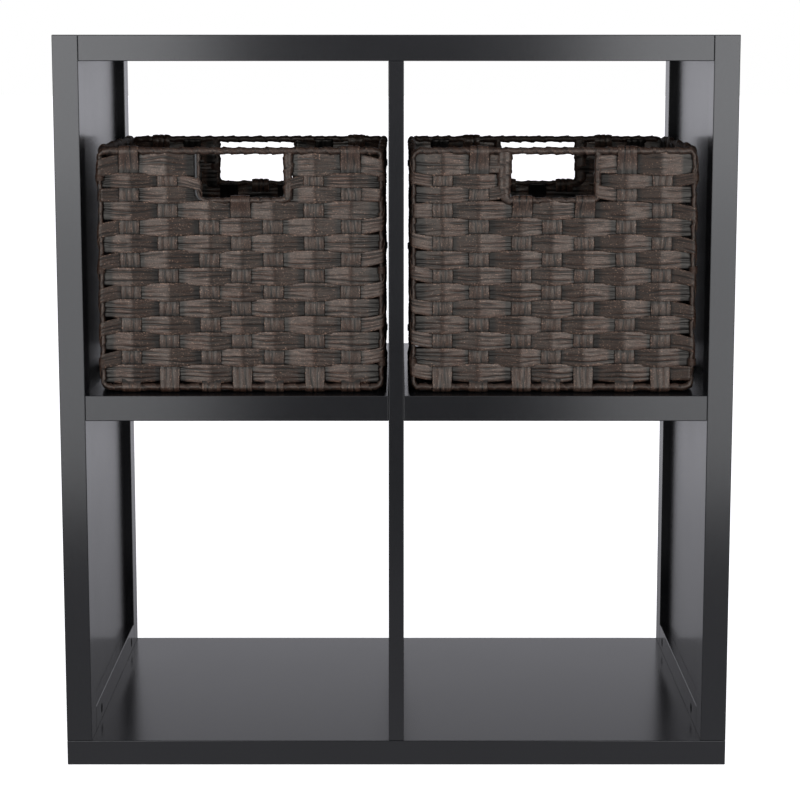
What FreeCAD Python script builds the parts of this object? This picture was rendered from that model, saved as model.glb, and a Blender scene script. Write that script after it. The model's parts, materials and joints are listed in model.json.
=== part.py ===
import FreeCAD, Part
import math
import os

# Cube storage unit: a shelf of four cubes, with a folding woven basket in each upper cube.
# Millimetres. +Z is up, the open front faces -Y, and the origin is the middle of the
# underside of the base board.

# Shelf unit
WIDTH = 660.0
DEPTH = 390.0
HEIGHT = 725.0
BOARD = 25.0            # base, top and shelf boards, and the thickness of the side frames
DIVIDER = 15.0
POST_DEPTH = 35.0       # a side frame's posts, from front to back
RAIL_HEIGHT = 25.0
SIDE_PANEL = 9.0
TONGUE = 6.0            # how far a side panel enters its frame
EASE = 0.8              # rounding on the boards' edges
SLACK = 0.1             # clearance of a panel in its groove and of a fastener in its hole
END_SLACK = 0.5         # spare depth at the end of a groove or a blind hole
OVERRUN = 1.0           # how far a cutting shape runs past the face it starts from

# Bolts up through the base board, and the barrel nuts that they screw into
BOLT_R = 3.0
BOLT_HEAD_R = 5.0
BOLT_HEAD = 5.0
BOLT_TIP = 42.0         # height that a bolt reaches above the floor
SOCKET_R = 2.9          # hexagon socket, centre to corner
SOCKET_DEPTH = 2.5
COUNTERBORE_R = 6.0
COUNTERBORE = 6.0
BOLT_FROM_FRONT = 75.0
BOLT_FROM_BACK = 60.0
NUT_R = 5.0
NUT_LENGTH = 14.0
NUT_RISE = 11.0         # nut's axis above the base board
NUT_SLOT = 1.4

# Dowels
DOWEL_R = 4.0
DOWEL_LENGTH = 30.0
DOWEL_CHAMFER = 0.8
POST_DOWEL_INSET = 13.5     # from the outer face of a post to its base dowel
FRAME_DOWEL_IN_POST = 12.0
FRAME_DOWEL_INSET = 9.0     # from a rail's outer edge to its dowel
DIVIDER_DOWEL_Y = 150.0
DIVIDER_DOWEL_SINK = 12.0   # part of the dowel that is in the base or top board

# Screws from the base board into the divider
SCREW_R = 2.5
SCREW_HEAD_R = 4.5
SCREW_HEAD = 3.0
SCREW_BORE_R = 5.5      # counterbore under a screw's head
SCREW_LENGTH = 60.0
SCREW_Y = 100.0

# Cam fittings
CAM_R = 7.5
CAM_HEIGHT = 15.7
CAM_HOLE = 16.2
CAM_REACH = 24.5        # from the end of a board to the axis of its cam
CAM_SLOT = 1.5
CAM_BOLT_R = 3.0
CAM_BOLT_NECK_R = 2.0
CAM_BOLT_NECK = 5.0
CAM_BOLT_HEAD_R = 3.3
CAM_BOLT_HEAD = 3.0
CAM_BOLT_GRIP = 11.0    # threaded length in a post or rail
CAM_BOLT_HOLE_R = 3.5
TOP_CAM_Y = 110.0
SHELF_CAM_Y = 177.5     # middle of a post
THROUGH_BOLT_Y = 130.0

# Woven baskets: four framed walls and a base that folds up against the back wall
BASKET = 282.0          # outside, across and from front to back
BASKET_HEIGHT = 242.0
BASKET_SETBACK = 20.0   # from the front of the unit to the front of a basket
BASKET_LIFT = 0.4       # clearance over the shelf
BASKET_CENTRES = {"left_basket": -152.0, "right_basket": 154.0}
ROLL = 6.0              # thickness of the wound edge of a panel
ROLL_EASE = 2.7
WEAVE = 3.6             # thickness of the woven field inside that edge
CORNER_R = 12.0
PANEL_GAP = 1.0         # between neighbouring panels
WIRE_R = 1.5
HANDLE_WIDTH = 81.0
HANDLE_HEIGHT = 43.5
HANDLE_CORNER_R = 5.0
TIE_INNER_R = 1.8
TIE_OUTER_R = 2.9
TIE_HEIGHT = 8.0
TIE_HEIGHTS = (30.0, 121.0, 212.0)
RING_OFFSETS = (-80.0, 80.0)
NOTCH_SLACK = 0.4       # room left round a tie or a ring in the panels that it joins

# Places worked out from the sizes above
INNER_X = WIDTH / 2 - BOARD
FRAME_X = WIDTH / 2 - BOARD / 2
RAIL_Y = DEPTH / 2 - POST_DEPTH
TOP_Z = HEIGHT - BOARD
SHELF_Z = (HEIGHT - BOARD) / 2
SHELF_TOP = SHELF_Z + BOARD
NUT_Z = BOARD + NUT_RISE
BOLT_YS = (-DEPTH / 2 + BOLT_FROM_FRONT, DEPTH / 2 - BOLT_FROM_BACK)
SIDES = {"left": -1, "right": 1}
PANEL_PITCH = ROLL + PANEL_GAP      # between the wires of two panels that meet
QUARTER = 90.0


def vector(x, y, z):
    return FreeCAD.Vector(x, y, z)


def block(corner, opposite, ease=0.0):
    """Box between two opposite corners, with all its edges rounded by ease."""
    low = [min(pair) for pair in zip(corner, opposite)]
    high = [max(pair) for pair in zip(corner, opposite)]
    size = [b - a for a, b in zip(low, high)]
    shape = Part.makeBox(*size, vector(*low))
    if ease:
        shape = shape.makeFillet(ease, shape.Edges)
    return shape


def rod(start, end, radius):
    """Cylinder between two points."""
    axis = vector(*end) - vector(*start)
    return Part.makeCylinder(radius, axis.Length, vector(*start), axis)


def save(node, solids):
    """Write one node: a single solid, or a group of separate solids."""
    shape = solids[0] if len(solids) == 1 else Part.makeCompound(solids)
    shape.exportStep(f"parts/{node}.step")


# ---- fasteners: each maker gives the solids and the holes that they need ----

def base_bolts():
    bolts = []
    holes = []
    for side in SIDES.values():
        for y in BOLT_YS:
            x = side * FRAME_X
            seat = (x, y, COUNTERBORE)
            under = (x, y, COUNTERBORE - BOLT_HEAD)
            turns = [k * math.pi / 3 for k in range(7)]
            corners = [vector(*under) + vector(math.cos(turn), math.sin(turn), 0) * SOCKET_R for turn in turns]
            socket = Part.Face(Part.makePolygon(corners)).extrude(vector(0, 0, SOCKET_DEPTH))
            bolt = rod(under, seat, BOLT_HEAD_R).fuse(rod(seat, (x, y, BOLT_TIP), BOLT_R))
            bolts.append(bolt.cut(socket).Solids[0])
            holes.append(rod((x, y, -OVERRUN), seat, COUNTERBORE_R))
            holes.append(rod((x, y, 0), (x, y, BOLT_TIP + END_SLACK), BOLT_R + SLACK))
    return bolts, holes


def barrel_nuts():
    nuts = []
    holes = []
    for side in SIDES.values():
        near = side * (FRAME_X - NUT_LENGTH / 2)
        far = side * (FRAME_X + NUT_LENGTH / 2)
        for y in BOLT_YS:
            nut = rod((near, y, NUT_Z), (far, y, NUT_Z), NUT_R)
            top = (side * FRAME_X, y, BOLT_TIP + OVERRUN)
            cross = rod((side * FRAME_X, y, BOARD), top, BOLT_R + SLACK)
            slot = block((near - side * OVERRUN, y - NUT_SLOT / 2, NUT_Z - NUT_R),
                         (near + side * NUT_SLOT, y + NUT_SLOT / 2, NUT_Z + NUT_R))
            nuts.append(nut.cut([cross, slot]).Solids[0])
            mouth = (side * (INNER_X - OVERRUN), y, NUT_Z)
            holes.append(rod(mouth, (far + side * END_SLACK, y, NUT_Z), NUT_R + SLACK))
    return nuts, holes


def dowels(places):
    """Dowels from a start point along a direction, with chamfered ends."""
    pins = []
    holes = []
    for start, direction in places:
        start = vector(*start)
        direction = vector(*direction)
        pin = Part.makeCylinder(DOWEL_R, DOWEL_LENGTH, start, direction)
        rims = [edge for edge in pin.Edges if isinstance(edge.Curve, Part.Circle)]
        pins.append(pin.makeChamfer(DOWEL_CHAMFER, rims))
        holes.append(Part.makeCylinder(DOWEL_R + SLACK, DOWEL_LENGTH + 2 * END_SLACK,
                                       start - direction * END_SLACK, direction))
    return pins, holes


def post_dowel_places():
    z = BOARD - DOWEL_LENGTH / 2
    y = DEPTH / 2 - POST_DOWEL_INSET
    return [((side * FRAME_X, end * y, z), (0, 0, 1)) for side in SIDES.values() for end in (-1, 1)]


def frame_dowel_places():
    heights = (BOARD + FRAME_DOWEL_INSET, HEIGHT - FRAME_DOWEL_INSET)
    y = RAIL_Y + FRAME_DOWEL_IN_POST
    return [((side * FRAME_X, end * y, z), (0, -end, 0))
            for side in SIDES.values() for end in (-1, 1) for z in heights]


def divider_dowel_places():
    low = BOARD - DIVIDER_DOWEL_SINK
    high = TOP_Z + DIVIDER_DOWEL_SINK
    return [((0, end * DIVIDER_DOWEL_Y, z), (0, 0, way))
            for end in (-1, 1) for z, way in ((low, 1), (high, -1))]


def divider_screws():
    screws = []
    holes = []
    for y in (-SCREW_Y, SCREW_Y):
        seat = (0, y, COUNTERBORE)
        tip = (0, y, COUNTERBORE + SCREW_LENGTH)
        head = rod((0, y, COUNTERBORE - SCREW_HEAD), seat, SCREW_HEAD_R)
        screws.append(head.fuse(rod(seat, tip, SCREW_R)).Solids[0])
        holes.append(rod((0, y, -OVERRUN), seat, SCREW_BORE_R))
        holes.append(rod((0, y, 0), (0, y, tip[2] + END_SLACK), SCREW_R + SLACK))
    return screws, holes


def cam_sites():
    """End face, the way that the end points, depth place and underside of each board with a cam."""
    sites = []
    for side in SIDES.values():
        for end in (-1, 1):
            sites.append((side * INNER_X, side, end * TOP_CAM_Y, TOP_Z))
            sites.append((side * INNER_X, side, end * SHELF_CAM_Y, SHELF_Z))
            sites.append((side * DIVIDER / 2, -side, end * THROUGH_BOLT_Y, SHELF_Z))
    return sites


def cam_bolt_end(end_x, way, y, z):
    """Neck and head of a cam bolt, from the end of a board to the middle of its cam."""
    centre = end_x - way * CAM_REACH
    neck = centre + way * CAM_BOLT_NECK
    body = rod((end_x, y, z), (neck, y, z), CAM_BOLT_R)
    body = body.fuse(rod((neck, y, z), (centre, y, z), CAM_BOLT_NECK_R))
    return body.fuse(rod((centre, y, z), (centre - way * CAM_BOLT_HEAD, y, z), CAM_BOLT_HEAD_R))


def cam_bolts():
    """Bolts that are screwed into the side frames."""
    bolts = []
    for end_x, way, y, face_z in cam_sites():
        if abs(end_x) == INNER_X:
            z = face_z + BOARD / 2
            thread = rod((end_x, y, z), (end_x + way * CAM_BOLT_GRIP, y, z), CAM_BOLT_R)
            bolts.append(thread.fuse(cam_bolt_end(end_x, way, y, z)).removeSplitter().Solids[0])
    return bolts


def through_bolts():
    """Double-ended bolts that pass through the divider and draw both shelves to it."""
    bolts = []
    z = SHELF_Z + BOARD / 2
    for y in (-THROUGH_BOLT_Y, THROUGH_BOLT_Y):
        bolt = rod((-DIVIDER / 2, y, z), (DIVIDER / 2, y, z), CAM_BOLT_R)
        for side in SIDES.values():
            bolt = bolt.fuse(cam_bolt_end(side * DIVIDER / 2, -side, y, z))
        bolts.append(bolt.removeSplitter().Solids[0])
    return bolts


def cam_locks():
    """Round cams in the undersides of the boards, hollow where a bolt's head is caught."""
    cams = []
    holes = []
    for end_x, way, y, face_z in cam_sites():
        x = end_x - way * CAM_REACH
        z = face_z + BOARD / 2
        cam = rod((x, y, face_z), (x, y, face_z + CAM_HEIGHT), CAM_R)
        caught = (x - way * (CAM_BOLT_HEAD + END_SLACK), y, z)
        mouth = rod(caught, (x + way * CAM_R, y, z), CAM_BOLT_HEAD_R + SLACK)
        roof = face_z + CAM_SLOT
        slots = [block((x - long, y - wide, face_z), (x + long, y + wide, roof))
                 for long, wide in ((CAM_R / 2, CAM_SLOT / 2), (CAM_SLOT / 2, CAM_R / 2))]
        cams.append(cam.cut([mouth] + slots).Solids[0])
        holes.append(rod((x, y, face_z - OVERRUN), (x, y, face_z + CAM_HOLE), CAM_R + SLACK))
        tip = (end_x + way * (CAM_BOLT_GRIP + END_SLACK), y, z)
        holes.append(rod((x, y, z), tip, CAM_BOLT_HOLE_R))
    return cams, holes


# ---- boards ----

def side_frame(side):
    """Posts, rails and panel of one side, with the groove that holds the panel."""
    inner = side * INNER_X
    outer = side * WIDTH / 2
    half = SIDE_PANEL / 2
    groove = block((side * FRAME_X - half - SLACK, -RAIL_Y - TONGUE, BOARD + RAIL_HEIGHT - TONGUE),
                   (side * FRAME_X + half + SLACK, RAIL_Y + TONGUE, HEIGHT - RAIL_HEIGHT + TONGUE))
    reach = TONGUE - END_SLACK
    panel = block((side * FRAME_X - half, -RAIL_Y - reach, BOARD + RAIL_HEIGHT - reach),
                  (side * FRAME_X + half, RAIL_Y + reach, HEIGHT - RAIL_HEIGHT + reach))
    members = {
        "front_post": block((inner, -DEPTH / 2, BOARD), (outer, -RAIL_Y, HEIGHT), EASE),
        "rear_post": block((inner, RAIL_Y, BOARD), (outer, DEPTH / 2, HEIGHT), EASE),
        "bottom_rail": block((inner, -RAIL_Y, BOARD), (outer, RAIL_Y, BOARD + RAIL_HEIGHT), EASE),
        "top_rail": block((inner, -RAIL_Y, HEIGHT - RAIL_HEIGHT), (outer, RAIL_Y, HEIGHT), EASE),
    }
    members = {name: shape.cut(groove) for name, shape in members.items()}
    members["side_panel"] = panel
    return members


def boards():
    shapes = {
        "base_board": block((-WIDTH / 2, -DEPTH / 2, 0), (WIDTH / 2, DEPTH / 2, BOARD), EASE),
        "top_board": block((-INNER_X, -DEPTH / 2, TOP_Z), (INNER_X, DEPTH / 2, HEIGHT), EASE),
        "divider": block((-DIVIDER / 2, -DEPTH / 2, BOARD), (DIVIDER / 2, DEPTH / 2, TOP_Z), EASE),
    }
    for name, side in SIDES.items():
        shapes[f"{name}_shelf"] = block((side * DIVIDER / 2, -DEPTH / 2, SHELF_Z),
                                        (side * INNER_X, DEPTH / 2, SHELF_TOP), EASE)
        for member, shape in side_frame(side).items():
            shapes[f"{name}_{member}"] = shape
    return shapes


# ---- baskets: panels are made flat in the XZ plane, centred on the origin ----

def square_path(points, radius, closed):
    """Straight runs through points in the XZ plane that turn by right angles, with round corners."""
    points = [vector(x, 0, z) for x, z in points]
    count = len(points)
    corners = range(count) if closed else range(1, count - 1)
    starts = {}
    ends = {}
    arcs = {}
    for k in corners:
        back = (points[k - 1] - points[k]).normalize()
        onward = (points[(k + 1) % count] - points[k]).normalize()
        middle = points[k] + (back + onward) * (radius * (1 - math.sqrt(0.5)))
        starts[k] = points[k] + back * radius
        ends[k] = points[k] + onward * radius
        arcs[k] = Part.Arc(starts[k], middle, ends[k]).toShape()
    edges = []
    for k in range(count if closed else count - 1):
        if k in arcs:
            edges.append(arcs[k])
        onward = (k + 1) % count
        edges.append(Part.makeLine(ends.get(k, points[k]), starts.get(onward, points[onward])))
    return Part.Wire(edges)


def wire_along(path, radius):
    """Round wire along a path."""
    first = path.Edges[0]
    start = first.valueAt(first.FirstParameter)
    heading = first.tangentAt(first.FirstParameter)
    section = Part.Wire(Part.makeCircle(radius, start, heading))
    return path.makePipeShell([section], True, False)


def rectangle(width, height):
    x, z = width / 2, height / 2
    return [(-x, -z), (x, -z), (x, z), (-x, z)]


def panel_wire(width, height, handle, radius):
    """Wire frame of one panel, with a welded U under the rim where the panel has a handle."""
    outline = square_path(rectangle(width - ROLL, height - ROLL), CORNER_R - ROLL / 2, True)
    frame = wire_along(outline, radius)
    if handle:
        x = (HANDLE_WIDTH + ROLL) / 2
        top = (height - ROLL) / 2
        bottom = top - HANDLE_HEIGHT - ROLL
        route = [(-x, top), (-x, bottom), (x, bottom), (x, top)]
        loop = square_path(route, HANDLE_CORNER_R + ROLL / 2, False)
        frame = frame.fuse(wire_along(loop, radius))
    return frame.Solids[0]


def goes_through(edge):
    """True for an edge that runs through a plate's thickness, from face to face."""
    heading = edge.tangentAt(edge.FirstParameter)
    return abs(heading.y) > max(abs(heading.x), abs(heading.z))


def slab(width, height, thickness, radius):
    """Flat plate with rounded corners."""
    shape = Part.makeBox(width, thickness, height, vector(-width / 2, -thickness / 2, -height / 2))
    return shape.makeFillet(radius, [edge for edge in shape.Edges if goes_through(edge)])


def panel(width, height, handle):
    """Woven panel: a thick wound edge round a thinner field, and a channel for its wire."""
    shape = slab(width, height, ROLL, CORNER_R)
    shape = shape.makeFillet(ROLL_EASE, [edge for edge in shape.Edges if not goes_through(edge)])
    field = slab(width - 2 * ROLL, height - 2 * ROLL, ROLL, CORNER_R - ROLL)
    top = height / 2 - ROLL
    if handle:
        half = HANDLE_WIDTH / 2
        bottom = top - HANDLE_HEIGHT
        field = field.cut(block((-half - ROLL, -ROLL, bottom - ROLL), (half + ROLL, ROLL, top)))
        hole = slab(HANDLE_WIDTH, HANDLE_HEIGHT, 2 * ROLL, HANDLE_CORNER_R)
        hole.translate(vector(0, 0, top - HANDLE_HEIGHT / 2))
        shape = shape.cut(hole)
    for face in (-1, 1):
        recess = field.copy()
        recess.translate(vector(0, face * (ROLL + WEAVE) / 2, 0))
        shape = shape.cut(recess)
    return shape.cut(panel_wire(width, height, handle, WIRE_R + SLACK))


def placed(shape, position, axis=None, turn=0.0):
    shape = shape.copy()
    if axis:
        shape.rotate(vector(0, 0, 0), vector(*axis), turn)
    shape.translate(vector(*position))
    return shape


def ring():
    """Flat-sided ring round two wires a panel pitch apart along Y, as tall as a tie."""
    def obround(radius):
        half = PANEL_PITCH / 2
        shape = rod((0, -half, -TIE_HEIGHT / 2), (0, -half, TIE_HEIGHT / 2), radius)
        shape = shape.fuse(rod((0, half, -TIE_HEIGHT / 2), (0, half, TIE_HEIGHT / 2), radius))
        web = block((-radius, -half, -TIE_HEIGHT / 2), (radius, half, TIE_HEIGHT / 2))
        return shape.fuse(web).removeSplitter()
    return obround(TIE_OUTER_R).cut(obround(TIE_INNER_R)).Solids[0]


def notch():
    """Room for a ring in the wound edges of the two panels that it joins."""
    side = ROLL / 2 + NOTCH_SLACK
    rise = TIE_HEIGHT / 2 + NOTCH_SLACK
    return block((-side, -PANEL_PITCH / 2 - side, -rise), (side, PANEL_PITCH / 2 + side, rise))


def basket(name):
    """All the nodes of one basket, in place on its shelf."""
    centre_x = BASKET_CENTRES[name]
    front = -DEPTH / 2 + BASKET_SETBACK
    back = front + BASKET
    floor = SHELF_TOP + BASKET_LIFT
    middle = (front + back) / 2
    mid_z = floor + BASKET_HEIGHT / 2
    base_z = floor + ROLL / 2
    inner = BASKET - 2 * PANEL_PITCH
    edge_x = (BASKET - ROLL) / 2
    upright = (0, 0, 1)
    across = (0, 1, 0)
    flat = (1, 0, 0)

    ties = []
    notches = []
    for side in (-1, 1):
        for y in (front + (ROLL + PANEL_PITCH) / 2, back - (ROLL + PANEL_PITCH) / 2):
            for height in TIE_HEIGHTS:
                spot = (centre_x + side * edge_x, y, floor + height)
                ties.append(placed(ring(), spot))
                notches.append(placed(notch(), spot))
    rings = []
    for offset in RING_OFFSETS:
        spot = (centre_x + offset, back - (ROLL + PANEL_PITCH) / 2, base_z)
        rings.append(placed(ring(), spot, across, QUARTER))
        notches.append(placed(notch(), spot, across, QUARTER))

    places = {
        "front": (BASKET, BASKET_HEIGHT, True, (centre_x, front + ROLL / 2, mid_z), upright, 0),
        "back": (BASKET, BASKET_HEIGHT, True, (centre_x, back - ROLL / 2, mid_z), upright, 0),
        "left": (inner, BASKET_HEIGHT, False, (centre_x - edge_x, middle, mid_z), upright, QUARTER),
        "right": (inner, BASKET_HEIGHT, False, (centre_x + edge_x, middle, mid_z), upright, QUARTER),
        "base": (inner, inner, False, (centre_x, middle, base_z), flat, QUARTER),
    }
    shapes = {f"{name}_corner_ties": ties, f"{name}_base_rings": rings}
    for wall, (width, height, handle, spot, axis, turn) in places.items():
        woven = placed(panel(width, height, handle), spot, axis, turn)
        noun = "panel" if wall == "base" else "wall"
        shapes[f"{name}_{wall}_{noun}"] = [woven.cut(notches).Solids[0]]
        frame = panel_wire(width, height, handle, WIRE_R)
        shapes[f"{name}_{wall}_frame"] = [placed(frame, spot, axis, turn)]
    return shapes


def main():
    os.makedirs("parts", exist_ok=True)
    hardware = {"cam_bolts": cam_bolts(), "through_bolts": through_bolts()}
    holes = []
    makers = {
        "base_bolts": base_bolts(),
        "barrel_nuts": barrel_nuts(),
        "divider_screws": divider_screws(),
        "cam_locks": cam_locks(),
        "post_dowels": dowels(post_dowel_places()),
        "frame_dowels": dowels(frame_dowel_places()),
        "divider_dowels": dowels(divider_dowel_places()),
    }
    for node, (solids, cutters) in makers.items():
        hardware[node] = solids
        holes += cutters
    for node, shape in boards().items():
        near = [hole for hole in holes if hole.BoundBox.intersect(shape.BoundBox)]
        save(node, shape.cut(near).Solids if near else [shape])
    for node, solids in hardware.items():
        save(node, solids)
    for name in BASKET_CENTRES:
        for node, solids in basket(name).items():
            save(node, solids)


main()
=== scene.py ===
import json
import math

import bpy
import numpy as np
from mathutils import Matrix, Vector


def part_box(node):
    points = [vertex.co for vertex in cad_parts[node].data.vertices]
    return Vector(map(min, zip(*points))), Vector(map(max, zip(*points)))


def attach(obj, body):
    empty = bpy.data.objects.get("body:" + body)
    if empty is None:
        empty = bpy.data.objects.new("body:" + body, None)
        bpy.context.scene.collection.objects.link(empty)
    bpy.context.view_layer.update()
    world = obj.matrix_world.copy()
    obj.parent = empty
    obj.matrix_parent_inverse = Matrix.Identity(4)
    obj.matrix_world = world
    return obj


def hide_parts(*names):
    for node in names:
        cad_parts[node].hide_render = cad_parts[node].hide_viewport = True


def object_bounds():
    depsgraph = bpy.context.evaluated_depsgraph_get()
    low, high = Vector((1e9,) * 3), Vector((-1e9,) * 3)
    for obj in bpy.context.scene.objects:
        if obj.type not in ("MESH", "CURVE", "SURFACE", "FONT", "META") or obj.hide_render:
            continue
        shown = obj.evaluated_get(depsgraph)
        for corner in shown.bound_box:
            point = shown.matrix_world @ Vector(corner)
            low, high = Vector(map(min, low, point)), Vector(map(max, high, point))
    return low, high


# Looks of the cube storage unit, in metres, in the same frame as the CAD model: the boards'
# black laminate, the baskets' woven panels, and a plain studio.

MM = 0.001
SEED = 11

# Wound edges of a basket panel, in metres
TOP_R = 3.6 * MM
BOTTOM_R = 3.5 * MM
SIDE_R = 2.3 * MM
HANDLE_R = 2.8 * MM
SIDE_INSET = 3.6 * MM           # from a panel's side to the middle of its wound edge
TOP_INSET = 4.2 * MM
BOTTOM_INSET = 5.0 * MM
ROLL_CORNER = 6.5 * MM
HANDLE_CORNER = 6.5 * MM
THICKEST = 3.7 * MM             # half of a wound edge's greatest thickness
WOUND_STEP = 1.3 * MM           # spacing of the stations along an edge
WOUND_SIDES = 14
LAP = 14.0 * MM                 # length along the edge that each turn covers
LAP_HEIGHT = 1.1 * MM
LAP_RISE = 1.5                  # power by which a turn rises towards the lap
LAP_SLIP = 0.35                 # how far a lap strays from even spacing, in turns
LAP_SLIP_RUN = 2.5 * LAP
LAP_SHADE = 0.14                # share of a turn that has painted shade beside the lap
LAP_FRAY_START = 0.75           # place in a turn where its frayed edge starts
LAP_FRAY = 0.8
LUMP = 0.10                     # lumps of a wound edge, against its radius
LUMP_RUN = 6 * MM
FOLDS = 2.3                     # folds in the paper of each turn
FOLD_SWAY = 0.2
FOLD_HEIGHT = 0.12 * MM
# strength of the painted shade in the folds of each turn
FOLD_SHADE = 0.4
WINDING_SLANT = 0.7             # slope of the paper's fibres along an edge
TURN_NUMBER = 0.7               # difference in the paper's strip number from turn to turn
RIM = 6.0 * MM                  # height of the edge over the handle opening, and under it
HANDLE_WIDTH = 81.0 * MM
HANDLE_HEIGHT = 43.5 * MM

# Woven strips
STEP = 3.4 * MM                 # spacing of a strip's stations
WRAP_LIFT = 0.7 * MM            # a strip's middle above the surface of the edge that it goes round
WEFT_WAVE = 2.7 * MM            # a row's height over or under an upright
WARP_WAVE = 0.9 * MM
WEFT_THICK = 1.5 * MM
WARP_THICK = 1.7 * MM
WARP_WIDTH = 19.5 * MM
OVER_WIDTH = 1.16               # a row's width over an upright, against the rows' spacing
UNDER_WIDTH = 0.97
GATHERED = 0.87                 # its width where it turns round an edge in front
FLAT_TURN = 1.12                # and behind
UPRIGHT_END = 0.95              # an upright's width round an edge
TENT = 0.85                     # how straight a strip runs between its crossings
WEFT_DIVE = -0.15               # height at which painted shade starts on a row that dives under an upright, as a share of its wave
# height at which painted shade starts on an upright that dives under a row
WARP_DIVE = 0.38
# span of height over which that painted shade sets in, as a share of the wave
PAINTED_SHADE_RUN = 0.35
PLAIN_PAINTED_LIGHT = 0.4            # how strongly light and shade are painted on the rows of all but the front walls
LIGHT_SLOPE = 0.12              # slope at which a row has its strongest painted light, or its strongest painted shade on the other way
ROW_DRIFT = 0.5 * MM
DRIFT_RUN = 40 * MM
DRIFT_EASE = 15 * MM            # length at a row's ends over which the drift sets in
UPRIGHT_SWAY = 0.6 * MM
SWAY_RUN = 50 * MM
ROW_SPREAD = 0.4                # how far a row strays from even spacing, in millimetres
UPRIGHT_SPREAD = 1.0            # and an upright
TURN_SHIFT = 3.5 * MM           # how far a gathered turn slips towards the next row
SHIFT_RUN = 20.0 * MM
SHIFT_FADE = 1.5                # power by which the slip fades
TAIL = 9.0 * MM                 # end of an upright, tucked in behind
TAIL_OUT = 0.9                  # how far behind it ends, against the turn's radius
STRIP_EDGE = 0.35               # thickness at a strip's edge, against its middle
WEFT_CREASES = 3
WARP_CREASES = 2
CREASE_HALF = 0.10              # half width of a crease, against half the strip's
CREASE_DEPTH = 0.9 * MM
CREASE_SWAY = 0.17
CREASE_RUN = 18.0 * MM          # length over which a crease comes and goes
CREASE_GAP = 2.2 * CREASE_HALF  # least distance from one crease's side to the next one's middle
CREASE_ROOM = 2.4 * CREASE_HALF     # width kept free for each crease that is still to come
CREASE_LIMIT = 0.92             # farthest place of a crease, against half the strip's width
CREASE_MEAN = 0.5               # usual depth of a crease, against its greatest
CREASE_VARIETY = 0.9
CREASE_SHOULDER = 0.15          # painted shade at a crease's sides, against its middle
STEP_RELIEF = 0.28 * MM         # difference in height of the paper on the two sides of a crease
FACE_BULGE = 0.3 * STEP_RELIEF
FACE_HALF = 0.93                # half width of a strip's creased face, against half the strip's
FRAYED_START = 0.8              # where a strip's frayed edge starts, against half the strip's width
FRAYED_RUN = 0.2

# Layout of a panel
UPRIGHTS = (0.113, 0.245, 0.390, 0.496, 0.612, 0.755, 0.880)    # shares of the panel's width
HANDLE_UPRIGHTS = (2, 3, 4)     # uprights that start under the handle opening
HANDLE_ROW_EDGES = (7.4 * MM, 27.3 * MM, 39.8 * MM, 54.3 * MM)  # below the rim
HANDLE_ROWS = len(HANDLE_ROW_EDGES) - 1
LOWER_ROWS = 11
BOTTOM_MARGIN = 10.6 * MM       # from the last row to the bottom
BASE_INSET = 3.0 * MM           # a base panel's clearance in its basket, at the sides and in front
BASE_REAR_INSET = 1.3 * MM

# Ties round two neighbouring edges, and the rings that hold a base to its back wall
PANEL_PITCH = 7.6 * MM          # from the middle of one edge to the other
TIE_HEIGHT = 7.0 * MM
TIE_TURNS = 5
TURN_STATIONS = 24
TIE_STRAND = 0.85 * MM          # radius of the strand
STRAND_SIDES = 8
TIE_R = 3.4 * MM
TIE_FLATNESS = 1.6              # how soon a turn changes from one edge to the other
TIE_SIDE = 138 * MM             # from a basket's middle
TIE_PLACES = (-168.2 * MM, 100.4 * MM)      # along Y
TIE_LEVELS = (405.4 * MM, 496.4 * MM, 587.4 * MM)
RING_SIDE = 80 * MM
RING_LEVEL = 379.4 * MM

BASKETS = ("left_basket", "right_basket")

# How far each handle opening is from the middle of its wall
HANDLE_SHIFTS = {"left_basket": 1.2 * MM, "right_basket": -1.3 * MM}

# Thickness of the wound edge from the left of a handle opening, under it and up again on its right,
# at these shares of its length
HANDLE_ROLL_PLACES = (0, 0.2, 0.35, 0.65, 0.8, 1)
HANDLE_ROLLS = {
    "left_basket": (0.62, 0.62, 1.0, 1.0, 1.7, 1.8),
    "right_basket": (2.7, 2.3, 1.1, 0.95, 1.25, 1.3),
}

# Paper: its colours, and how fine its patterns are along a strip, across it and from strip to strip
PAPER_DARK = (0.0095, 0.0058, 0.0045)
PAPER_LIGHT = (0.058, 0.0370, 0.0280)
PAPER_FRAYED = (0.20, 0.125, 0.088, 1)
# colour of the painted shade in creases, where a strip dives under another, and beside each lap
PAINTED_SHADE_COLOUR = (0.003, 0.0025, 0.0025, 1)
FIBRES = (130, 1500, 40)
CREPE = (900, 900, 40)
PATCHES = (45, 70, 40)
SPECKS = (620, 900, 40)

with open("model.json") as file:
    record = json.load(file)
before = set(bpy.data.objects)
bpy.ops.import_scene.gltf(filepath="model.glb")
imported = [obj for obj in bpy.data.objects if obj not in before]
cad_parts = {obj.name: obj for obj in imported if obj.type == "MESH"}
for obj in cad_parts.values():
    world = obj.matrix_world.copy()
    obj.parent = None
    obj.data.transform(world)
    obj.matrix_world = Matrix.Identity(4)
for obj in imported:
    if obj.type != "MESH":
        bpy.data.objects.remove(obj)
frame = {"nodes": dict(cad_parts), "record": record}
cad_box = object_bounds()


# ---- materials ----

def new_material(name):
    """Material with its nodes and its Principled shader."""
    made = bpy.data.materials.new(name)
    made.use_nodes = True
    nodes = made.node_tree.nodes
    return made, nodes, made.node_tree.links, nodes["Principled BSDF"]


def noise(nodes, links, source, scale, detail=3.0, stretch=(1, 1, 1)):
    """Noise of a coordinate that is stretched first."""
    mapping = nodes.new("ShaderNodeMapping")
    mapping.inputs["Scale"].default_value = stretch
    links.new(source, mapping.inputs["Vector"])
    texture = nodes.new("ShaderNodeTexNoise")
    texture.inputs["Scale"].default_value = scale
    texture.inputs["Detail"].default_value = detail
    links.new(mapping.outputs["Vector"], texture.inputs["Vector"])
    return texture.outputs["Fac"]


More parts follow.
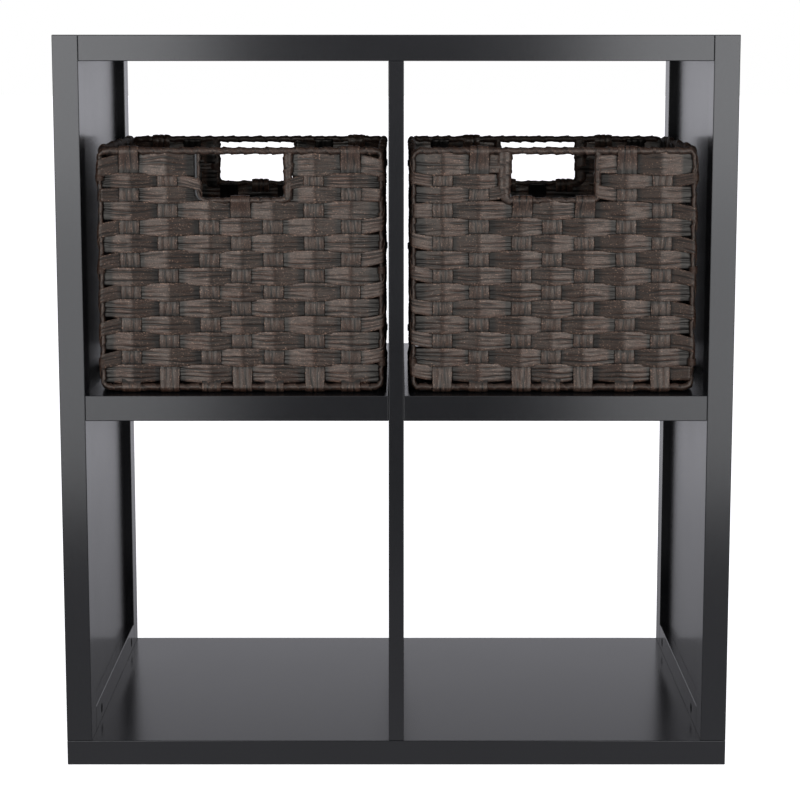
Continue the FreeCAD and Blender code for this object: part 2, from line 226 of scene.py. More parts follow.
def ramp(nodes, links, value, stops):
    """Colour ramp through (place, colour) stops."""
    node = nodes.new("ShaderNodeValToRGB")
    elements = node.color_ramp.elements
    while len(elements) < len(stops):
        elements.new(0.5)
    for element, (place, colour) in zip(elements, stops):
        element.position = place
        element.color = (*colour, 1)
    links.new(value, node.inputs["Fac"])
    return node.outputs["Color"]


def grey(value):
    return (value, value, value)


def feed(links, socket, value):
    """Links a socket to another one, or gives it a constant value."""
    if isinstance(value, bpy.types.NodeSocket):
        links.new(value, socket)
    else:
        socket.default_value = value


def mix(nodes, links, share, first, second, kind="MIX"):
    node = nodes.new("ShaderNodeMix")
    node.data_type = "RGBA"
    node.blend_type = kind
    for name, value in (("Factor", share), ("A", first), ("B", second)):
        feed(links, node.inputs[name], value)
    return node.outputs["Result"]


def math_node(nodes, links, operation, *values):
    node = nodes.new("ShaderNodeMath")
    node.operation = operation
    for socket, value in zip(node.inputs, values):
        feed(links, socket, value)
    return node.outputs["Value"]


def bump(nodes, links, height, distance, strength=1.0, normal=None):
    node = nodes.new("ShaderNodeBump")
    node.inputs["Distance"].default_value = distance
    node.inputs["Strength"].default_value = strength
    links.new(height, node.inputs["Height"])
    if normal:
        links.new(normal, node.inputs["Normal"])
    return node.outputs["Normal"]


def laminate():
    """Satin black board: fine pores, faint cloudiness, and a slightly uneven gloss."""
    made, nodes, links, shader = new_material("black_laminate")
    place = nodes.new("ShaderNodeTexCoord").outputs["Object"]
    cloud = noise(nodes, links, place, 9.0, 4.0)
    pores = noise(nodes, links, place, 900.0, 2.0)
    black = ramp(nodes, links, cloud, [(0.3, (0.0034, 0.0036, 0.0042)), (0.7, (0.0048, 0.0050, 0.0058))])
    links.new(black, shader.inputs["Base Color"])
    gloss = mix(nodes, links, 0.35, ramp(nodes, links, cloud, [(0.3, grey(0.185)), (0.7, grey(0.215))]),
                ramp(nodes, links, pores, [(0.35, grey(0.17)), (0.65, grey(0.25))]))
    links.new(gloss, shader.inputs["Roughness"])
    links.new(bump(nodes, links, pores, 0.00004, 0.5), shader.inputs["Normal"])
    shader.inputs["IOR"].default_value = 1.5
    return made


def zinc():
    """Zinc-plated fittings: mottled, slightly yellow, with turning marks."""
    made, nodes, links, shader = new_material("zinc_hardware")
    place = nodes.new("ShaderNodeTexCoord").outputs["Object"]
    mottle = noise(nodes, links, place, 260.0, 4.0)
    links.new(ramp(nodes, links, mottle, [(0.3, (0.42, 0.42, 0.41)), (0.7, (0.66, 0.65, 0.61))]),
              shader.inputs["Base Color"])
    gloss = ramp(nodes, links, mottle, [(0.3, grey(0.28)), (0.7, grey(0.45))])
    links.new(gloss, shader.inputs["Roughness"])
    marks = noise(nodes, links, place, 1500.0, 2.0, (1, 1, 0.2))
    links.new(bump(nodes, links, marks, 0.00003), shader.inputs["Normal"])
    shader.inputs["Metallic"].default_value = 1.0
    return made


def beech():
    """Fluted beech dowels: pale, with short darker flecks."""
    made, nodes, links, shader = new_material("beech_dowel")
    place = nodes.new("ShaderNodeTexCoord").outputs["Object"]
    grain = noise(nodes, links, place, 420.0, 3.0, (1, 1, 0.15))
    links.new(ramp(nodes, links, grain, [(0.35, (0.42, 0.26, 0.13)), (0.6, (0.62, 0.43, 0.25))]),
              shader.inputs["Base Color"])
    links.new(bump(nodes, links, grain, 0.0001, 0.5), shader.inputs["Normal"])
    shader.inputs["Roughness"].default_value = 0.7
    return made


def wire():
    """Black enamelled wire, a little lumpy."""
    made, nodes, links, shader = new_material("black_wire")
    place = nodes.new("ShaderNodeTexCoord").outputs["Object"]
    lumps = noise(nodes, links, place, 350.0, 3.0)
    enamel = ramp(nodes, links, lumps, [(0.3, grey(0.008)), (0.7, grey(0.02))])
    links.new(enamel, shader.inputs["Base Color"])
    gloss = ramp(nodes, links, lumps, [(0.3, grey(0.3)), (0.7, grey(0.45))])
    links.new(gloss, shader.inputs["Roughness"])
    links.new(bump(nodes, links, lumps, 0.0001, 0.5), shader.inputs["Normal"])
    return made


def fibre(name, lightness=1.0, dull=0.0):
    """Crumpled paper strip: lengthwise fibres, redder patches and coppery frayed edges, with painted shade
    in its creases, where it dives under another strip and beside each lap of a wound edge, and painted
    light and shade on the two facets of each crossing. It reads two attributes: "strip", the place along
    and across a strip and the strip's number, and a second one with a point's painted shade, how near it is
    to the strip's edge, and its painted light and shade by slope."""
    made, nodes, links, shader = new_material(name)
    place, fray_and_painted_light = [nodes.new("ShaderNodeAttribute") for _ in range(2)]
    place.attribute_name, fray_and_painted_light.attribute_name = "strip", "fray_and_painted_light"
    place = place.outputs["Vector"]
    split = nodes.new("ShaderNodeSeparateXYZ")
    links.new(fray_and_painted_light.outputs["Vector"], split.inputs["Vector"])
    crease, rim, painted_facet_light = split.outputs["X"], split.outputs["Y"], split.outputs["Z"]
    fine = noise(nodes, links, place, 1.0, 3.0, FIBRES)
    crepe = noise(nodes, links, place, 1.0, 2.0, CREPE)
    patches = noise(nodes, links, place, 1.0, 2.0, PATCHES)
    specks = noise(nodes, links, place, 1.0, 3.0, SPECKS)
    dark = tuple(lightness * v for v in PAPER_DARK)
    light = tuple(lightness * v for v in PAPER_LIGHT)
    colour = ramp(nodes, links, fine, [(0.30, dark), (0.70, light)])
    grain = ramp(nodes, links, crepe, [(0.3, grey(0.5)), (0.7, grey(1.3))])
    colour = mix(nodes, links, 1.0, colour, grain, "MULTIPLY")
    red = ramp(nodes, links, patches, [(0.40, (1.0, 1.0, 1.0)), (0.60, (0.86, 0.70, 0.63))])
    colour = mix(nodes, links, 1.0, colour, red, "MULTIPLY")
    # painted light and shade by slope: one facet of each crossing greyer and brighter, the other darker and
    # redder
    shade = ramp(nodes, links, math_node(nodes, links, "MULTIPLY_ADD", painted_facet_light, 0.5, 0.5),
                 [(0.15, (0.55, 0.50, 0.46)), (0.5, (0.95, 0.97, 0.98)), (0.85, (1.35, 1.42, 1.46))])
    colour = mix(nodes, links, 1.0, colour, shade, "MULTIPLY")
    edge = math_node(nodes, links, "MULTIPLY_ADD", rim, 0.07, specks)
    rust = ramp(nodes, links, edge, [(0.61, grey(0.0)), (0.70, grey(0.7))])
    colour = mix(nodes, links, rust, colour, PAPER_FRAYED)
    # painted shade in creases, where a strip dives under another, and beside each lap and crease of a wound
    # edge
    painted_shade_mask = ramp(nodes, links, crease, [(0.05, grey(0.0)), (0.6, grey(1.0))])
    colour = mix(nodes, links, painted_shade_mask, colour, PAINTED_SHADE_COLOUR)
    links.new(colour, shader.inputs["Base Color"])
    shader.inputs["IOR"].default_value = 1.42
    shader.inputs["Specular Tint"].default_value = (1.0, 0.95, 0.86, 1)
    gloss = ramp(nodes, links, fine, [(0.3, grey(0.40 + dull)), (0.7, grey(0.26 + dull))])
    links.new(gloss, shader.inputs["Roughness"])
    normal = bump(nodes, links, fine, 0.0002, 0.6)
    links.new(bump(nodes, links, crepe, 0.00015, 0.6, normal), shader.inputs["Normal"])
    return made


# ---- woven panels ----

def wander(random, count, spacing, length):
    """Values at evenly spaced stations along a length that drift between -1 and 1."""
    knots = max(4, int(length / spacing) + 2)
    return np.interp(np.linspace(0, knots - 1, count), np.arange(knots), random.uniform(-1, 1, knots))


def unit(vectors):
    return vectors / np.linalg.norm(vectors, axis=1, keepdims=True)


def lengths(points):
    """Distance along a path to each of its points."""
    return np.concatenate([[0], np.cumsum(np.linalg.norm(np.diff(points, axis=0), axis=1))])


class Weave:
    """Collects the strips and wound edges of one panel as one mesh.
    Points are (across, up, out) in metres from the panel's lower left corner, in its middle plane.
    Each has a strip coordinate (along, across, number), and its painted shade from creases and dives,
    its nearness to the strip's frayed edge, and its painted light and shade by slope."""

    def __init__(self, seed):
        self.random = np.random.default_rng(seed)
        self.points = []
        self.strip = []
        self.fray_and_painted_light = []
        self.faces = []
        self.count = 0

    def loft(self, rings, strip, fray_and_painted_light, closed=False):
        """Closed tube through rings of points, capped at its ends unless it closes on itself."""
        stations, around = rings.shape[:2]
        self.points.append(rings.reshape(-1, 3))
        self.strip.append(strip.reshape(-1, 3))
        self.fray_and_painted_light.append(fray_and_painted_light.reshape(-1, 3))
        index = self.count + np.arange(stations * around).reshape(stations, around)
        leading = index if closed else index[:-1]
        following = np.roll(index, -1, axis=0) if closed else index[1:]
        quads = np.stack([leading, np.roll(leading, -1, 1), np.roll(following, -1, 1), following], -1)
        self.faces += quads.reshape(-1, 4).tolist()
        if not closed:
            self.faces.append(index[0][::-1].tolist())
            self.faces.append(index[-1].tolist())
        self.count += stations * around

    def flat_strip(self, path, normal, width, painted_dive_shade, painted_facet_light, across, thick, creases):
        """Crumpled paper strip along a path: both faces have lengthwise creases that come and go."""
        along = lengths(path)
        number = self.random.uniform(0, 9)
        parts = []
        for side in (1, -1):
            places, relief, depth = self.creased(len(path), along[-1], creases)
            rise = thick / 2 * np.sqrt(np.maximum(1 - places ** 4, STRIP_EDGE ** 2)) + relief
            points = (path[:, None] + np.array(across) * (places * width[:, None] / 2)[..., None]
                      + normal[:, None] * (side * rise)[..., None])
            rim = np.clip((np.abs(places) - FRAYED_START) / FRAYED_RUN, 0, 1)
            across_face = places * width.mean() / 2 + (side > 0) * width.mean()
            strip = np.stack([along[:, None] + 0 * places, across_face, number + 0 * places], -1)
            # painted shade of creases and dives, nearness to the frayed edge, and painted light and shade
            # by slope
            fray_and_painted_light = np.stack([np.maximum(depth, painted_dive_shade[:, None]), rim, painted_facet_light[:, None] + 0 * places], -1)
            parts.append([part[:, ::side] for part in (points, strip, fray_and_painted_light)])
        self.loft(*[np.concatenate(pair, axis=1) for pair in zip(*parts)])

    def creased(self, stations, length, creases):
        """Places across a strip's face from -1 to 1, the relief there, and how deep in a crease each is."""
        random = self.random
        rows = [(-1.0, 0.0, 0.0), (-FACE_HALF, 0.0, 0.0)]
        last = -FACE_HALF
        for k in range(creases):
            even = -1 + 2 * (k + 1) / (creases + 1)
            middle = even + CREASE_SWAY * wander(random, stations, CREASE_RUN, length)
            depth = CREASE_MEAN + CREASE_VARIETY * wander(random, stations, CREASE_RUN, length)
            depth = np.clip(depth, 0, 1)
            step = random.uniform(-1, 1) * STEP_RELIEF
            middle = np.clip(middle, last + CREASE_GAP, CREASE_LIMIT - CREASE_ROOM * (creases - k))
            # the third value of each row is how deep in the crease it lies, which the paper turns into
            # painted shade
            rows += [((last + middle - CREASE_HALF) / 2, FACE_BULGE, 0.0),
                     (middle - CREASE_HALF, step, CREASE_SHOULDER * depth),
                     (middle, -CREASE_DEPTH * depth, depth),
                     (middle + CREASE_HALF, -step, CREASE_SHOULDER * depth)]
            last = middle + CREASE_HALF
        rows += [((last + FACE_HALF) / 2, FACE_BULGE, 0.0), (FACE_HALF, 0.0, 0.0), (1.0, 0.0, 0.0)]
        return [np.stack([np.broadcast_to(row[k], stations) for row in rows], 1) for k in range(3)]

    def wound_edge(self, path, radius, closed):
        """Wire wound with a strip: a tube with a slanting step where each turn laps the last."""
        stations = len(path)
        tangent = (np.roll(path, -1, 0) - np.roll(path, 1, 0)) if closed else np.gradient(path, axis=0)
        tangent = unit(tangent)
        side = np.cross(tangent, (0.0, 0.0, 1.0))
        along = lengths(path)
        turns = round(along[-1] / LAP)
        angle = np.linspace(-math.pi / 2, 1.5 * math.pi, WOUND_SIDES, endpoint=False)[None]
        slip = LAP_SLIP * wander(self.random, stations, LAP_SLIP_RUN, along[-1])
        slip = slip * np.clip(np.minimum(along, along[-1] - along) / LAP, 0, 1)
        phase = along[:, None] / along[-1] * turns + slip[:, None] + angle / (2 * math.pi)
        lap = phase % 1.0
        lump = wander(self.random, stations, LUMP_RUN, along[-1])[:, None]
        folds = np.sin(2 * math.pi * (FOLDS * lap + FOLD_SWAY * lump))
        size = radius[:, None] * (1 + LUMP * lump) - LAP_HEIGHT / 2 + LAP_HEIGHT * lap ** LAP_RISE
        size = size + FOLD_HEIGHT * folds
        flat = np.minimum(1, THICKEST / radius)[:, None]
        rings = (path[:, None] + side[:, None] * (np.cos(angle) * size)[..., None]
                 + np.array([0.0, 0.0, 1.0]) * (np.sin(angle) * size * flat)[..., None])
        girth = radius.mean() * angle
        strip = np.stack([girth + WINDING_SLANT * along[:, None], along[:, None] - WINDING_SLANT * girth,
                          np.floor(phase) * TURN_NUMBER], -1)
        # painted shade beside each lap and in the folds of the paper
        crease = np.clip(1 - lap / LAP_SHADE, 0, 1) + np.clip(-folds, 0, 1) * FOLD_SHADE
        rim = np.clip((lap - LAP_FRAY_START) / (1 - LAP_FRAY_START), 0, 1) * LAP_FRAY
        self.loft(rings, strip, np.stack([crease, rim, 0 * rim], -1), closed)

    def build(self, name, place, material, body, slot, replaced):
        """Makes the object. place turns local points into the frame's."""
        mesh = bpy.data.meshes.new(name)
        mesh.from_pydata(place(np.concatenate(self.points)).tolist(), [], self.faces)
        for attribute, values in (("strip", self.strip), ("fray_and_painted_light", self.fray_and_painted_light)):
            made = mesh.attributes.new(attribute, "FLOAT_VECTOR", "POINT")
            made.data.foreach_set("vector", np.concatenate(values).astype(np.float32).ravel())
        mesh.shade_smooth()
        mesh.materials.append(material)
        piece = bpy.data.objects.new(name, mesh)
        bpy.context.scene.collection.objects.link(piece)
        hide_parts(replaced)
        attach(piece, body)


def resample(points, step, closed=False):
    """Points evenly spaced along a path."""
    if closed:
        points = np.vstack([points, points[:1]])
    along = lengths(points)
    stops = np.linspace(0, along[-1], max(4, int(along[-1] / step) + 1))
    made = np.stack([np.interp(stops, along, points[:, k]) for k in range(3)], 1)
    return made[:-1] if closed else made


def arc(centre_x, centre_y, radius, start):
    """Quarter turn, anticlockwise from a start angle in degrees."""
    turns = np.radians(np.linspace(start, start + 90, 8))
    return [(centre_x + radius * math.cos(turn), centre_y + radius * math.sin(turn), 0.0) for turn in turns]


def outline(width, height):
    """Middle line of the wound edge round a panel, anticlockwise."""
    left, right = SIDE_INSET + ROLL_CORNER, width - SIDE_INSET - ROLL_CORNER
    bottom, top = BOTTOM_INSET + ROLL_CORNER, height - TOP_INSET - ROLL_CORNER
    points = (arc(right, bottom, ROLL_CORNER, -90) + arc(right, top, ROLL_CORNER, 0)
              + arc(left, top, ROLL_CORNER, 90) + arc(left, bottom, ROLL_CORNER, 180))
    return resample(np.array(points), WOUND_STEP, True)


def handle_outline(left, right, bottom, top):
    """Middle line of the wound edge down one side of the handle opening, under it and up again."""
    radius = HANDLE_CORNER
    points = ([(left, top, 0.0)] + arc(left + radius, bottom + radius, radius, 180)
              + arc(right - radius, bottom + radius, radius, 270) + [(right, top, 0.0)])
    return resample(np.array(points), WOUND_STEP)


class Path:
    """A strip's middle line, with the way that its outer face points, its width, its painted shade where
    it dives under another strip, and its painted light and shade by slope."""

    def __init__(self):
        self.parts = [[], [], [], [], []]

    def add(self, points, normals, widths, painted_dive_shade=None, painted_facet_light=None, reverse=False):
        plain = np.zeros(len(points))
        painted_dive_shade, painted_facet_light = [plain if value is None else value for value in (painted_dive_shade, painted_facet_light)]
        values = (points, normals, widths, painted_dive_shade, painted_facet_light)
        for part, value in zip(self.parts, values):
            part.append(value[::-1] if reverse else value)

    def arrays(self):
        points, normals, widths, painted_dive_shade, painted_facet_light = [np.concatenate(part) for part in self.parts]
        return points, unit(normals), widths, painted_dive_shade, painted_facet_light


def ride_over(places, heights, shares, dive):
    """Stations along a strip that crosses others at given places: where they are, how far out, a share
    that goes from one crossing's value to the next, and how much painted shade the strip has. It is
    creased where it rides over, and painted dark as shade from the height at which it dives under, as a
    share of its wave."""
    across, out, share, painted_dive_shade = [], [], [], []
    for k in range(len(places) - 1):
        start, end = heights[k], heights[k + 1]
        count = max(5, int((places[k + 1] - places[k]) / STEP))
        t = np.linspace(0, 1, count + 1)
        if k + 2 < len(places):
            t = t[:-1]
        bend = np.sin(math.pi * t / 2) if start > end else 1 - np.cos(math.pi * t / 2)
        bend = TENT * t + (1 - TENT) * bend
        across.append(places[k] + t * (places[k + 1] - places[k]))
        out.append(start + (end - start) * bend)
        ease = (1 - np.cos(math.pi * t)) / 2
        share.append(shares[k] + (shares[k + 1] - shares[k]) * ease)
        level = np.sign(start) + (np.sign(end) - np.sign(start)) * bend
        # painted shade where the strip dives under another one
        painted_dive_shade.append(np.clip((dive - level) / PAINTED_SHADE_RUN, 0, 1))
    return [np.concatenate(values) for values in (across, out, share, painted_dive_shade)]


def lay_row(path, random, columns, over, level, width, face, leftwards, shifts):
    """Adds one row to a path, over and under the uprights, between the wound edges at its ends."""
    places = columns["places"]
    heights = np.where(over, 1.0, -1.0) * columns["lift"]
    shares = np.where(over, OVER_WIDTH, UNDER_WIDTH)
    for end in (0, -1):
        shares[end] = GATHERED if over[end] else FLAT_TURN
    across, out, share, painted_dive_shade = ride_over(places, heights, shares, WEFT_DIVE)
    drift = ROW_DRIFT * wander(random, len(across), DRIFT_RUN, places[-1] - places[0])
    inner = np.clip(np.minimum(across - places[0], places[-1] - across) / DRIFT_EASE, 0, 1)
    shift = np.zeros(len(across))
    for end, amount in zip((0, -1), shifts):
        shift += amount * np.clip(1 - np.abs(across - places[end]) / SHIFT_RUN, 0, 1) ** SHIFT_FADE
    slope = np.gradient(out, across)
    points = np.stack([across, level + drift * inner + shift, out], 1)
    normals = face * np.stack([-slope, 0 * slope, 1 + 0 * slope], 1)
    # painted light and shade: one facet of each crossing brighter, the other darker, the sign mirrored
    # between the two baskets
    painted_facet_light = columns["painted_light_sign"] * np.clip(slope / LIGHT_SLOPE, -1, 1)
    path.add(points, normals, width * share, painted_dive_shade, painted_facet_light, leftwards)


def wrap_edge(path, edge, side, level, next_level, from_front, width, face):
    """Carries a strip round an upright edge and down to the next row. side is -1 at a left edge."""
    turn = np.linspace(0, math.pi, 9)[1:-1]
    radius = SIDE_R + WRAP_LIFT
    out = np.cos(turn) if from_front else -np.cos(turn)
    ease = (1 - np.cos(turn)) / 2
    points = np.stack([edge + radius * side * np.sin(turn), level + (next_level - level) * ease,
                       radius * out], 1)
    normals = np.stack([side * np.sin(turn), 0 * turn, out], 1) * (face if from_front else -face)
    widths = width * (GATHERED + (FLAT_TURN - GATHERED) * (ease if from_front else 1 - ease))
    path.add(points, normals, widths)


def weft(weave, rows, columns, levels, widths, leftwards):
    """One strip that goes to and fro through the given rows of a panel, turning round the edges."""
    path = Path()
    face = 1
    down = (0, -1, 0) if leftwards else (0, 1, 0)
    entry = 0.0
    for row, following in zip(rows, rows[1:] + [None]):
        over = (columns["numbers"] + row) % 2 != 0
        end = 0 if leftwards else -1
        leave = -columns["slip"] if over[end] and following is not None else 0.0
        shifts = (leave, entry) if leftwards else (entry, leave)
        lay_row(path, weave.random, columns, over, levels[row], widths[row], face, leftwards, shifts)
        if following is not None:
            entry = 0.0 if over[end] else columns["slip"]
            wrap_edge(path, columns["places"][end], -1 if leftwards else 1, levels[row] + leave,
                      levels[following] + entry, bool(over[end]), widths[row], face)
            face = -face
        leftwards = not leftwards
    weave.flat_strip(*path.arrays(), down, WEFT_THICK, WEFT_CREASES)


def upright(weave, place, number, rows, levels, top):
    """One upright strip, over and under the rows. It always shows in front of the bottom edge, and in
    front of the edge over it where it shows at the row below that."""
    bottom = BOTTOM_INSET
    over_top = (number + rows[0]) % 2 == 0
    over = np.array([True] + [(number + row) % 2 == 0 for row in rows[::-1]] + [over_top])
    stops = np.array([bottom] + [levels[row] for row in rows[::-1]] + [top])
    lift = np.array([BOTTOM_R + WRAP_LIFT] + [WARP_WAVE] * len(rows) + [TOP_R + WRAP_LIFT])
    shares = np.ones(len(over))
    shares[0] = shares[-1] = UPRIGHT_END
    up, out, share, painted_dive_shade = ride_over(stops, np.where(over, lift, -lift), shares, WARP_DIVE)
    slope = np.gradient(out, up)
    sway = UPRIGHT_SWAY * wander(weave.random, len(up), SWAY_RUN, top - bottom)
    path = Path()
    turn = np.linspace(0, math.pi, 8)[:-1]

    def end(height, way, x, radius):
        """Half turn from the front over an edge and a tail behind the rows."""
        points = np.stack([x + 0 * turn, height + way * radius * np.sin(turn), radius * np.cos(turn)], 1)
        points[-1] = (x, height - way * TAIL, -radius * TAIL_OUT)
        normals = np.stack([0 * turn, way * np.sin(turn), np.cos(turn)], 1)
        normals[-1] = (0, 0, -1)
        return points[1:], normals[1:], WARP_WIDTH * UPRIGHT_END + 0 * turn[1:]

    path.add(*end(bottom, -1, place + sway[0], lift[0]), reverse=True)
    normals = np.stack([0 * slope, -slope, 1 + 0 * slope], 1)
    path.add(np.stack([place + sway, up, out], 1), normals, WARP_WIDTH * share, painted_dive_shade)
    if over_top:
        path.add(*end(top, 1, place + sway[-1], lift[-1]))
    weave.flat_strip(*path.arrays(), (-1, 0, 0), WARP_THICK, WARP_CREASES)


def woven_panel(seed, width, height, handle, parity, handle_roll, handle_shift, fullness, front):
    """All the strips and wound edges of one panel. Upright 0 shows at row 0 where parity is 0. The
    fullness is a row's width against the rows' spacing. Only front walls have the full painted light and
    shade on their rows, and turns that slip."""
    weave = Weave(seed)
    random = weave.random
    handle_bottom = height - RIM - HANDLE_HEIGHT
    if handle:
        upper = height - np.array(HANDLE_ROW_EDGES)
        lower = np.linspace(upper[-1], BOTTOM_MARGIN, LOWER_ROWS + 1)
        tops = np.concatenate([upper[:-1], lower[:-1]])
        bottoms = np.concatenate([upper[1:], lower[1:]])
    else:
        edges = np.linspace(height - HANDLE_ROW_EDGES[0], BOTTOM_MARGIN, HANDLE_ROWS + LOWER_ROWS + 1)
        tops, bottoms = edges[:-1], edges[1:]
    levels = (tops + bottoms) / 2 + random.uniform(-ROW_SPREAD, ROW_SPREAD, len(tops)) * MM
    widths = (tops - bottoms) * fullness
    rows = list(range(len(levels)))
    spread = random.uniform(-UPRIGHT_SPREAD, UPRIGHT_SPREAD, len(UPRIGHTS)) * MM
    uprights = width * np.array(UPRIGHTS) + spread
    # strength of the painted light and shade on the rows
    painted_light_strength = 1.0 if front else PLAIN_PAINTED_LIGHT

    def columns(numbers, places):
        lift = np.full(len(places), WEFT_WAVE)
        lift[[0, -1]] = SIDE_R + WRAP_LIFT
        # the sign of the painted light on the rows is mirrored between the two baskets
        return {"numbers": np.array(numbers) + parity, "places": np.array(places), "lift": lift,
                "painted_light_sign": (1 - 2 * parity) * painted_light_strength, "slip": TURN_SHIFT if front else 0.0}

    left, right = SIDE_INSET, width - SIDE_INSET
    if handle:
        handle_left = (width - HANDLE_WIDTH) / 2 + handle_shift - HANDLE_R * handle_roll[1]
        handle_right = (width + HANDLE_WIDTH) / 2 + handle_shift + HANDLE_R * handle_roll[-2]
        beside = rows[:HANDLE_ROWS]
        rest = rows[HANDLE_ROWS:]
        first, last = HANDLE_UPRIGHTS[0], HANDLE_UPRIGHTS[-1]
        left_part = columns(range(-1, first + 1), [left, *uprights[:first], handle_left])
        right_part = columns(range(last, len(UPRIGHTS) + 1), [handle_right, *uprights[last + 1:], right])
        weft(weave, beside, left_part, levels, widths, True)
        weft(weave, beside, right_part, levels, widths, False)
        loop = handle_outline(handle_left, handle_right, handle_bottom - RIM / 2, height - TOP_INSET)
        shares = np.interp(np.linspace(0, 1, len(loop)), HANDLE_ROLL_PLACES, handle_roll)
        weave.wound_edge(loop, HANDLE_R * shares, False)
    else:
        rest = rows
    whole = columns(range(-1, len(UPRIGHTS) + 1), [left, *uprights, right])
    weft(weave, rest, whole, levels, widths, not handle)
    for number, place in enumerate(uprights):
        if handle and number in HANDLE_UPRIGHTS:
            upright(weave, place, number + parity, rest, levels, handle_bottom - RIM / 2)
        else:
            upright(weave, place, number + parity, rows, levels, height - TOP_INSET)
    path = outline(width, height)
    steep = np.abs(unit(np.roll(path, -1, 0) - np.roll(path, 1, 0))[:, 1])
    level = np.where(path[:, 1] > height / 2, TOP_R, BOTTOM_R)
    weave.wound_edge(path, level + (SIDE_R - level) * steep, True)
    return weave


def binding(centres, along, beside, radius):
    """Strands wound round pairs of neighbouring edges, one binding for each centre.
    along is the edges' direction and beside points from one edge to the other."""
    weave = Weave(SEED)
    along, beside = np.array(along, float), np.array(beside, float)
    facing = np.cross(along, beside)
    turns = np.linspace(0, 2 * math.pi * TIE_TURNS, TURN_STATIONS * TIE_TURNS)
    ring = np.linspace(0, 2 * math.pi, STRAND_SIDES, endpoint=False)
    for centre in centres:
        flat = np.clip(np.cos(turns) * TIE_FLATNESS, -1, 1) * PANEL_PITCH / 2
        path = (np.array(centre) + np.outer(flat + radius * np.cos(turns), beside)
                + np.outer(radius * np.sin(turns), facing)
                + np.outer((turns / turns[-1] - 0.5) * TIE_HEIGHT, along))
        tangent = unit(np.gradient(path, axis=0))
        first = unit(np.cross(tangent, along))
        second = np.cross(tangent, first)
        rings = path[:, None] + TIE_STRAND * (np.cos(ring)[None, :, None] * first[:, None]
                                              + np.sin(ring)[None, :, None] * second[:, None])
        run = lengths(path)[:, None]
        strip = np.stack([run + 0 * ring, TIE_STRAND * ring + 0 * run, 0 * run + 0 * ring], -1)
        weave.loft(rings, strip, np.zeros(strip.shape))
    return weave


def placer(node, across, up, out, inset=0.0, top_inset=0.0):
    """Function from a panel's own points to the frame, and the panel's width and height. The inset
    narrows the panel at its two sides and at its bottom edge, and the top inset at its top edge."""
    low, high = [np.array(corner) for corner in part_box(node)]
    across, up, out = [np.array(axis, float) for axis in (across, up, out)]
    width, height = [abs(axis @ (high - low)) for axis in (across, up)]
    corner = (low + high - across * width - up * height) / 2 + inset * (across + up)

    def place(points):
        return corner + points[:, :1] * across + points[:, 1:2] * up + points[:, 2:] * out

    return place, width - 2 * inset, height - inset - top_inset


# ---- the unit ----

materials = {
    "black_laminate": laminate(),
    "zinc_hardware": zinc(),
    "beech_dowel": beech(),
    "black_wire": wire(),
    "woven_fibre": fibre("woven_fibre", 1.04),
    "fibre_binding": fibre("fibre_binding", 1.1),
    # the side walls' paper is the same paper made darker, as painted shade, and duller
    "woven_fibre_sides_shaded": fibre("woven_fibre_sides_shaded", 0.9, 0.35),
}

for part in frame["record"]["subparts"]:
    node = frame["nodes"][part["node"]]
    node.data.materials.clear()
    node.data.materials.append(materials[part["material_slot"]])

X, Y, Z = (1, 0, 0), (0, 1, 0), (0, 0, 1)
FRONT, LEFT = (0, -1, 0), (-1, 0, 0)
THIN = 0.85                     # thickness of the side and back walls, against the front ones
FLATTENED = (0, 0, 0.6)         # a base panel is thinner than the walls

# Name, directions of the panel's width, height and outer face, whether it has a handle, and fullness
PANELS = (
    ("front_wall", X, Z, FRONT, True, 1.0),
    ("back_wall", LEFT, Z, (0, THIN, 0), True, 1.2),
    ("left_wall", FRONT, Z, (-THIN, 0, 0), False, 1.12),
    ("right_wall", Y, Z, (THIN, 0, 0), False, 1.12),
    ("base_panel", X, Y, FLATTENED, False, 1.12),
)
INSETS = {"base_panel": (BASE_INSET, BASE_REAR_INSET)}
seed = SEED
for parity, basket in enumerate(BASKETS):
    for panel, across, up, out, handle, fullness in PANELS:
        node = f"{basket}_{panel}"
        place, width, height = placer(node, across, up, out, *INSETS.get(panel, ()))
        seed += 1
        weave = woven_panel(seed, width, height, handle, parity, HANDLE_ROLLS[basket],
                            HANDLE_SHIFTS[basket], fullness, panel == "front_wall")
        body = f"{basket}_base" if panel == "base_panel" else basket
        paper = materials["woven_fibre_sides_shaded" if panel in ("left_wall", "right_wall") else "woven_fibre"]
        weave.build(f"{node}_weave", place, paper, body, "woven_fibre", node)
    middle = sum(corner.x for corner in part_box(f"{basket}_front_wall")) / 2
    corners = [(middle + side * TIE_SIDE, y, z) for side in (-1, 1) for y in TIE_PLACES for z in TIE_LEVELS]
    rings = [(middle + side * RING_SIDE, TIE_PLACES[1], RING_LEVEL) for side in (-1, 1)]
    for part, centres, along in (("corner_ties", corners, Z), ("base_rings", rings, X)):
        bound = binding(centres, along, Y, TIE_R)
        bound.build(f"{basket}_{part}_strands", np.array, materials["fibre_binding"], basket,
                    "fibre_binding", f"{basket}_{part}")


# ---- studio ----

# Strength of the surroundings by elevation in degrees, behind the object and in front of it
BEHIND = ((-90, 0.1), (-20, 0.1), (-12, 0.42), (-9.3, 0.64), (-8.6, 0.11), (-3.2, 0.11),
          (-2.4, 0.74), (4, 0.48), (12, 0.95), (20, 0.2), (35, 0.4), (90, 0.7))
BEFORE = ((-90, 0.3), (-30, 0.5), (-18, 0.8), (-10, 0.0), (0, 0.4), (10, 0.2), (40, 0.4), (90, 0.7))

